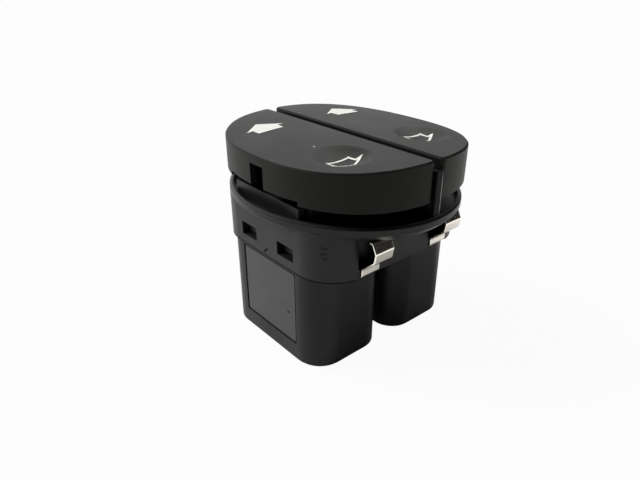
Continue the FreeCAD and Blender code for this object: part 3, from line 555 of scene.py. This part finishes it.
def coil(low, high):
    """A circle of the wire's radius round a helix of 4 turns: a = 8 pi t, and z is flat, even, flat.

    The circle lies in the plane of the helix's outward direction and of its cross product with the
    tangent, so that the wire stays round where the helix climbs."""
    centre = (low + high) / 2
    radius = (high[0] - low[0]) / 2 - WIRE_RADIUS
    share = np.linspace(0, 1, COIL_STATIONS)
    angle = 2 * math.pi * COIL_TURNS * share
    climb = np.clip((share - FLAT_SHARE) / (1 - 2 * FLAT_SHARE), 0, 1)
    level = low[2] + WIRE_RADIUS + climb * (high[2] - low[2] - 2 * WIRE_RADIUS)
    outwards = np.column_stack([np.cos(angle), np.sin(angle), np.zeros(COIL_STATIONS)])
    path = np.column_stack([centre[0] + radius * outwards[:, 0], centre[1] + radius * outwards[:, 1],
                            level])
    upwards = np.cross(outwards, np.gradient(path, axis=0))
    upwards /= np.linalg.norm(upwards, axis=1)[:, None]
    turn = np.linspace(0, 2 * math.pi, WIRE_SIDES, endpoint=False)[None, :, None]
    rings = path[:, None] + WIRE_RADIUS * (np.cos(turn) * outwards[:, None]
                                           + np.sin(turn) * upwards[:, None])
    faces = ring_walls(COIL_STATIONS, WIRE_SIDES) + end_caps(COIL_STATIONS, WIRE_SIDES)
    return rings.reshape(-1, 3), faces


for side in ("left", "right"):
    for end in ("front", "rear"):
        node = f"{side}_{end}_spring"
        low, high = [np.array(corner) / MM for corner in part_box(node)]
        points, faces = coil(low, high)
        mesh = closed_mesh(f"{side}_{end}_coil", points, faces)
        mesh.materials.append(finishes["spring_wire"])
        piece = linked(mesh.name, mesh)
        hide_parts(node)
        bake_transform(piece)
        print(piece.name, "height", round(float(high[2] - low[2]), 2), "faces", len(faces))

# %% [markdown]
# ## The top of a rocker as a formula
# The printed signs lie on a crowned top, and two of them dip into the finger dimples. Rather than
# drape them with a modifier, the height of the top is written as a function of x and y: a circle
# of large radius across the switch, less a round hollow whose lip runs out in two gentle slopes.

# %% Height of the rocker tops
rocker_high = np.array(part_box("right_rocker")[1]) / MM
ROCKER_HALF_WIDTH = float(rocker_high[0])
TOP = float(rocker_high[2])
CROWN_DROP = 0.95
CROWN_RADIUS = (ROCKER_HALF_WIDTH ** 2 + CROWN_DROP ** 2) / (2 * CROWN_DROP)
SWITCH_LOW, SWITCH_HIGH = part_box("right_supply_terminal")
SWITCH_X = float(SWITCH_LOW[0] + SWITCH_HIGH[0]) / 2 / MM
DIMPLE_Y = -10.7
DIMPLE_RADIUS = 6.0
DIMPLE_DEPTH = 1.15
DIMPLE_LIP = 0.25
DIMPLE_LIFT = 0.03
half_slope = math.atan(DIMPLE_DEPTH / DIMPLE_RADIUS)
both_radii = DIMPLE_RADIUS / math.sin(2 * half_slope)
hollow_radius = both_radii * (1 - DIMPLE_LIP)
lip_radius = both_radii * DIMPLE_LIP
turn_reach = hollow_radius * math.sin(2 * half_slope)
turn_level = hollow_radius * (1 - math.cos(2 * half_slope)) - DIMPLE_DEPTH
lip_reach = DIMPLE_RADIUS - lip_radius * math.sin(half_slope)
lip_level = lip_radius * (math.cos(half_slope) - 1)


def top_height(x, y):
    """Crown: TOP - R + sqrt(R^2 - x^2). Dimple: hollow of its own radius, then two straight slopes."""
    crown = TOP - CROWN_RADIUS + np.sqrt(CROWN_RADIUS ** 2 - x ** 2)
    reach = np.hypot(np.abs(x) - SWITCH_X, y - DIMPLE_Y)
    inside = np.minimum(reach, turn_reach)
    hollow = hollow_radius - np.sqrt(hollow_radius ** 2 - inside ** 2) - DIMPLE_DEPTH
    lip = np.interp(reach, [turn_reach, lip_reach, DIMPLE_RADIUS], [turn_level, lip_level, 0])
    return crown + np.minimum(np.where(reach < turn_reach, hollow, lip) + DIMPLE_LIFT, 0)


print("switch x", round(SWITCH_X, 3), "top", round(TOP, 3), "dimple floor",
      round(float(top_height(np.array(SWITCH_X), np.array(DIMPLE_Y))), 3))

# %% [markdown]
# ## Printed window signs
# Each rocker carries two signs in white ink: a solid arrow at the far end and the same arrow in
# outline in the dimple. Both are one outline, so it is written once, as points round an arrow that
# points along +Y. The solid one is a head and a shaft; the open one is a band that follows the
# outline, with mitred corners. Every patch is a small grid between four corners, lifted on to the
# top by the height formula, so the ink follows the curve of the plastic.

# %% Sign outlines and patches
STROKE = 0.48
INK_LIFT = 0.045
PATCH_STEPS = 10
SOLID_PLACES = {"left": (-SWITCH_X, 11.15), "right": (SWITCH_X, 11.15)}
OPEN_PLACES = {"left": (-10.51, -11.8), "right": (9.57, -10.49)}


def arrow(head_half, head_length, shaft_half, shaft_length):
    """Seven corners from the tip, round by the left: an arrow along +Y whose head starts at y = 0."""
    return np.array([(0, head_length), (-head_half, 0), (-shaft_half, 0), (-shaft_half, -shaft_length),
                     (shaft_half, -shaft_length), (shaft_half, 0), (head_half, 0)], float)


SOLID_ARROW = arrow(head_half=4.25, head_length=3.3, shaft_half=2.85, shaft_length=1.95)
OPEN_ARROW = arrow(head_half=4.3, head_length=2.75, shaft_half=2.6, shaft_length=1.7)


def patch(corners, steps):
    """A grid between four corners: the blend (1-u)(1-v)A + u(1-v)B + uvC + (1-u)vD at each u, v."""
    u, v = np.meshgrid(np.linspace(0, 1, steps + 1), np.linspace(0, 1, steps + 1), indexing="ij")
    a, b, c, d = [np.asarray(corner, float)[None, None, :] for corner in corners]
    u, v = u[..., None], v[..., None]
    points = (1 - u) * (1 - v) * a + u * (1 - v) * b + u * v * c + (1 - u) * v * d
    index = np.arange((steps + 1) ** 2).reshape(steps + 1, steps + 1)
    faces = np.stack([index[:-1, :-1], index[1:, :-1], index[1:, 1:], index[:-1, 1:]], -1)
    return points.reshape(-1, points.shape[-1]), faces.reshape(-1, 4)


def mitred(points, offset):
    """The outline moved sideways by offset: each corner goes out along its mitre."""
    before = points - np.roll(points, 1, axis=0)
    after = np.roll(points, -1, axis=0) - points
    before = before / np.linalg.norm(before, axis=1, keepdims=True)
    after = after / np.linalg.norm(after, axis=1, keepdims=True)
    left_before = np.stack([-before[:, 1], before[:, 0]], 1)
    left_after = np.stack([-after[:, 1], after[:, 0]], 1)
    share = 1 + np.sum(left_before * left_after, axis=1, keepdims=True)
    return points + offset * (left_before + left_after) / share


def solid_arrow():
    """Two patches: the head, whose last two corners meet at the tip, and the shaft."""
    corners = SOLID_ARROW
    head = patch([corners[1], corners[6], corners[0], corners[0]], PATCH_STEPS)
    shaft = patch([corners[3], corners[4], corners[5], corners[2]], PATCH_STEPS)
    return [head, shaft]


def open_arrow():
    """One patch a side, between the outline and the outline moved in by the stroke."""
    outer = OPEN_ARROW
    inner = mitred(outer, STROKE)
    count = len(outer)
    return [patch([outer[i], outer[(i + 1) % count], inner[(i + 1) % count], inner[i]], PATCH_STEPS)
            for i in range(count)]


def joined(patches):
    """Several patches as one set of points and faces, each patch's numbers moved past the last."""
    starts = np.cumsum([0] + [len(points) for points, _ in patches[:-1]])
    points = np.concatenate([points for points, _ in patches])
    faces = np.concatenate([faces + start for (_, faces), start in zip(patches, starts)])
    return points, faces


print("solid arrow", np.ptp(SOLID_ARROW, axis=0), "open arrow", np.ptp(OPEN_ARROW, axis=0), "mm")

# %% [markdown]
# ## Ink
# Pad-printed ink is a thin, slightly satin, slightly warm white, a touch uneven where the pad
# lifted. It is its own material, because the record's slots are for the solids.

# %% Ink and placing the signs
INK_PATCH_MM = 0.8
INK_ROUGHNESS = 0.45


def printed_ink(name, colour, thin_colour, shine=0.5):
    """A satin coat whose colour varies a little where the ink is thin."""
    material, tree, output = new_tree(name)
    place = add_node(tree, "ShaderNodeTexCoord")
    patchy = add_node(tree, "ShaderNodeTexNoise", {"Vector": place.outputs["Object"], "Detail": 4.0,
                                                   "Scale": 1 / (INK_PATCH_MM * MM)})
    tint = add_node(tree, "ShaderNodeMix", {0: patchy.outputs["Fac"], 6: linear(thin_colour),
                                            7: linear(colour)}, data_type="RGBA")
    surface = add_node(tree, "ShaderNodeBsdfPrincipled",
                       {"Base Color": tint.outputs[2], "Roughness": INK_ROUGHNESS,
                        "IOR": PLASTIC_IOR, "Specular IOR Level": shine})
    tree.links.new(surface.outputs["BSDF"], output.inputs["Surface"])
    return material


def sheet_object(name, points_mm, faces, material, body):
    """A mesh from points in mm and faces, riding on a body."""
    mesh = bpy.data.meshes.new(name)
    mesh.from_pydata((points_mm * MM).tolist(), [], faces.tolist())
    mesh.update()
    mesh.materials.append(material)
    mesh.shade_smooth()
    piece = linked(name, mesh)
    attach(piece, body)
    return piece


def outward(points, faces, direction):
    """Turns round the faces that look against a direction, so that all of them face outwards."""
    a, b, c = [points[faces[:, corner]] for corner in (0, 1, 2)]
    d = points[faces[:, 3]]
    facing = np.cross(c - a, d - b) @ np.asarray(direction, float)
    return np.where((facing < 0)[:, None], faces[:, ::-1], faces)


ink = printed_ink("pad_printed_white_ink", "#e4e4de", "#c9c9c2")
signs = []
for kind, maker, places, facing in (("solid", solid_arrow, SOLID_PLACES, 1),
                                    ("open", open_arrow, OPEN_PLACES, -1)):
    for side, (sign_x, head_y) in places.items():
        flat, faces = joined(maker())
        x = sign_x + flat[:, 0]
        y = head_y + facing * flat[:, 1]
        points = np.stack([x, y, top_height(x, y) + INK_LIFT], 1)
        faces = outward(points, faces, (0, 0, 1))
        signs.append(sheet_object(f"{side}_{kind}_arrow", points, faces, ink, side + "_rocker"))
print("signs:", [sign.name for sign in signs])

# %% [markdown]
# ## The bare plate on the side
# The left side of the base has a shallow framed recess, where such switches carry a label. On this
# one it is bare, so the recess gets a thin blank plate of black film with rounded corners, set in
# from the recess all round. The plate's side walls are near-black: painted shade for the fine dark
# line that frames it. Polyester film is smoother than the moulding round it, so it mirrors more of
# the floor and looks a shade paler.

# %% Side plate
SIDE_X = -HOUSING_HALF[0]
RECESS_DEPTH = 0.3
RECESS_Y = (-8.3, 7.9)
RECESS_Z = (3.8, 19.1)
PLATE_INSET = 0.26
PLATE_CORNER = 0.5
PLATE_FACE = 0.12
PLATE_EDGE = 0.05
PLATE_Y = (RECESS_Y[0] + PLATE_INSET, RECESS_Y[1] - PLATE_INSET)
PLATE_Z = (RECESS_Z[0] + PLATE_INSET, RECESS_Z[1] - PLATE_INSET)
ARC_STEPS = 8


def rounded_outline(low, high, corner, steps):
    """Points round a rectangle whose corners are quarter circles."""
    centres = np.array([(high[0] - corner, high[1] - corner), (low[0] + corner, high[1] - corner),
                        (low[0] + corner, low[1] + corner), (high[0] - corner, low[1] + corner)])
    turns = np.arange(4)[:, None] * math.pi / 2 + np.linspace(0, math.pi / 2, steps)[None, :]
    round_part = np.stack([np.cos(turns), np.sin(turns)], -1) * corner
    return (centres[:, None, :] + round_part).reshape(-1, 2)


def side_plate():
    """Points, walls and cap from three rings (foot, shoulder, face) and a point in the middle."""
    low, high = (PLATE_Y[0], PLATE_Z[0]), (PLATE_Y[1], PLATE_Z[1])
    foot = rounded_outline(low, high, PLATE_CORNER, ARC_STEPS)
    middle = foot.mean(axis=0)
    inner = rounded_outline((low[0] + PLATE_EDGE, low[1] + PLATE_EDGE),
                            (high[0] - PLATE_EDGE, high[1] - PLATE_EDGE),
                            PLATE_CORNER - PLATE_EDGE, ARC_STEPS)
    bottom_x = SIDE_X + RECESS_DEPTH
    face_x = SIDE_X + PLATE_FACE
    levels = [(foot, bottom_x), (foot, face_x + PLATE_EDGE), (inner, face_x)]
    rings = [np.column_stack([np.full(len(ring), x), ring]) for ring, x in levels]
    count = len(foot)
    points = np.concatenate(rings + [np.array([[face_x, *middle]])])
    step = np.arange(count)
    cap = np.stack([step + 2 * count, (step + 1) % count + 2 * count, np.full(count, 3 * count)], 1)
    return points, ring_walls(len(rings), count), cap.tolist()


plate_points, plate_walls, plate_cap = side_plate()
plate_mesh = bpy.data.meshes.new("blank_side_plate")
plate_mesh.from_pydata((plate_points * MM).tolist(), [], plate_walls + plate_cap)
plate_mesh.materials.append(moulded_plastic("black_polyester_film", "#2c2c2c", "#323232",
                                            roughness=0.4, spread=0.03, grain_mm=0.5,
                                            grain_depth_mm=0.005, cloud_mm=5.0, shine=0.38))
# Painted shade: the plate's side walls take a near-black finish for the dark line round it.
plate_mesh.materials.append(printed_ink("plate_edge_painted_shade", "#040404", "#070707", shine=0.0))
for wall in range(len(plate_walls)):
    plate_mesh.polygons[wall].material_index = 1
plate = linked("blank_side_plate", plate_mesh)
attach(plate, "root")
facing = bmesh.new()
facing.from_mesh(plate_mesh)
bmesh.ops.recalc_face_normals(facing, faces=facing.faces)
towards = sum(face.normal.x * face.calc_area() for face in facing.faces)
if towards > 0:
    bmesh.ops.reverse_faces(facing, faces=facing.faces)
facing.to_mesh(plate_mesh)
facing.free()
print("side plate", round(PLATE_Y[1] - PLATE_Y[0], 2), "by", round(PLATE_Z[1] - PLATE_Z[0], 2), "mm")

# %% [markdown]
# ## Small marks
# The switch has been handled: a pale fleck lies beside the near dimple, a dark speck and a faint one
# on the side plate, a gouge just above it and three faint smudges on the housing's corner; a pale
# line down the front edge of the fin is a painted highlight. Each is a thin leaf on its surface,
# worked out as a ring whose radius wobbles, so none of them is a perfect dot. A smudge is given by its
# angle round the corner, its height and its half width. The joint lines get the gouge's dark finish as
# painted shade.

# %% Fleck, specks, gouge, smudges, a painted highlight on the fin and joint lines of painted shade
LEAF_POINTS = 24
LEAF_LIFT = 0.015
ON_TOP = ((1, 0, 0), (0, 1, 0), (0, 0, 1))
ON_LEFT = ((0, 1, 0), (0, 0, 1), (-1, 0, 0))
ON_LEFT_SLANTED = ((0, 0.69, 0.73), (0, -0.73, 0.69), (-1, 0, 0))
ON_FRONT = ((1, 0, 0), (0, 0, 1), (0, -1, 0))
FLECK_X, FLECK_Y = -10.4, -4.0
SMUDGES = ((-141.5, 26.1, 0.6), (-142.6, 25.05, 0.7), (-140.8, 24.2, 0.4))
HIGHLIGHT_INSET = 0.16


def mark(name, centre, axes, half_sizes, wobble, material, body):
    """A leaf: centre + r(t)(a cos t * across + b sin t * along), with r = 1 + wobble * sin(3t + 1).

    The axes are across, along and outwards. The leaf is one many-sided face that looks outwards."""
    across, along, normal = np.array(axes, float)
    turn = np.linspace(0, 2 * math.pi, LEAF_POINTS, endpoint=False)
    reach = 1 + wobble * np.sin(3 * turn + 1)
    ring = (np.array(centre, float)[None, :] + normal[None, :] * LEAF_LIFT
            + (half_sizes[0] * reach * np.cos(turn))[:, None] * across[None, :]
            + (half_sizes[1] * reach * np.sin(turn))[:, None] * along[None, :])
    first, second, third = ring[::LEAF_POINTS // 3]
    order = np.arange(LEAF_POINTS)
    if np.cross(second - first, third - first) @ normal <= 0:
        order = order[::-1]
    return sheet_object(name, ring, order[None, :], material, body)


dust = printed_ink("pale_dust", "#c4c4be", "#9c9c96")
# The near-black finish below is the real colour of the speck and the gouge, and painted shade on the joint
# lines.
scuff_and_shade = printed_ink("dark_gouge_and_painted_shade", "#020202", "#040404", shine=0.0)
smudge = printed_ink("greasy_smudge", "#101010", "#181818", shine=0.17)
# A pale line on the fin's front edge: a painted highlight.
fin_highlight_ink = printed_ink("painted_edge_highlight", "#c4c4c0", "#868682")
fleck_z = float(top_height(np.array(FLECK_X), np.array(FLECK_Y)))
plate_x = SIDE_X + PLATE_FACE
marks = [
    mark("rocker_fleck", (FLECK_X, FLECK_Y, fleck_z), ON_TOP, (0.16, 0.3), 0.2, dust, "left_rocker"),
    mark("plate_speck", (plate_x, -5.94, 9.98), ON_LEFT, (0.38, 0.16), 0.35, scuff_and_shade, "root"),
    mark("plate_speck_faint", (plate_x, -3.5, 10.65), ON_LEFT, (0.25, 0.12), 0.3, smudge, "root"),
    mark("side_gouge", (SIDE_X, 0.3, 20.55), ON_LEFT_SLANTED, (0.15, 1.0), 0.0, scuff_and_shade, "root"),
]
corner_x, corner_y = [HOUSING_CORNER - half for half in HOUSING_HALF]
for index, (angle, level, half_width) in enumerate(SMUDGES):
    out = (math.cos(math.radians(angle)), math.sin(math.radians(angle)), 0)
    centre = (corner_x + HOUSING_CORNER * out[0], corner_y + HOUSING_CORNER * out[1], level)
    marks.append(mark(f"corner_smudge_{index}", centre, ((-out[1], out[0], 0), (0, 0, 1), out),
                      (half_width, 0.3), 0.3, smudge, "root"))
# Painted shade: near-black tubes where the housing's edge meets the base.
for name, (points, faces) in joint_shade_lines.items():
    joint = closed_mesh(name, points, faces)
    joint.materials.append(scuff_and_shade)
    piece = linked(name, joint)
    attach(piece, "root")
highlight_place = (NOSE_HALF_WIDTH - HIGHLIGHT_INSET, -NOSE_REACH[1], 34.2)
marks.append(mark("fin_painted_highlight", highlight_place, ON_FRONT, (0.1, 3.8), 0.05, fin_highlight_ink, "root"))
print("marks:", [piece.name for piece in marks])
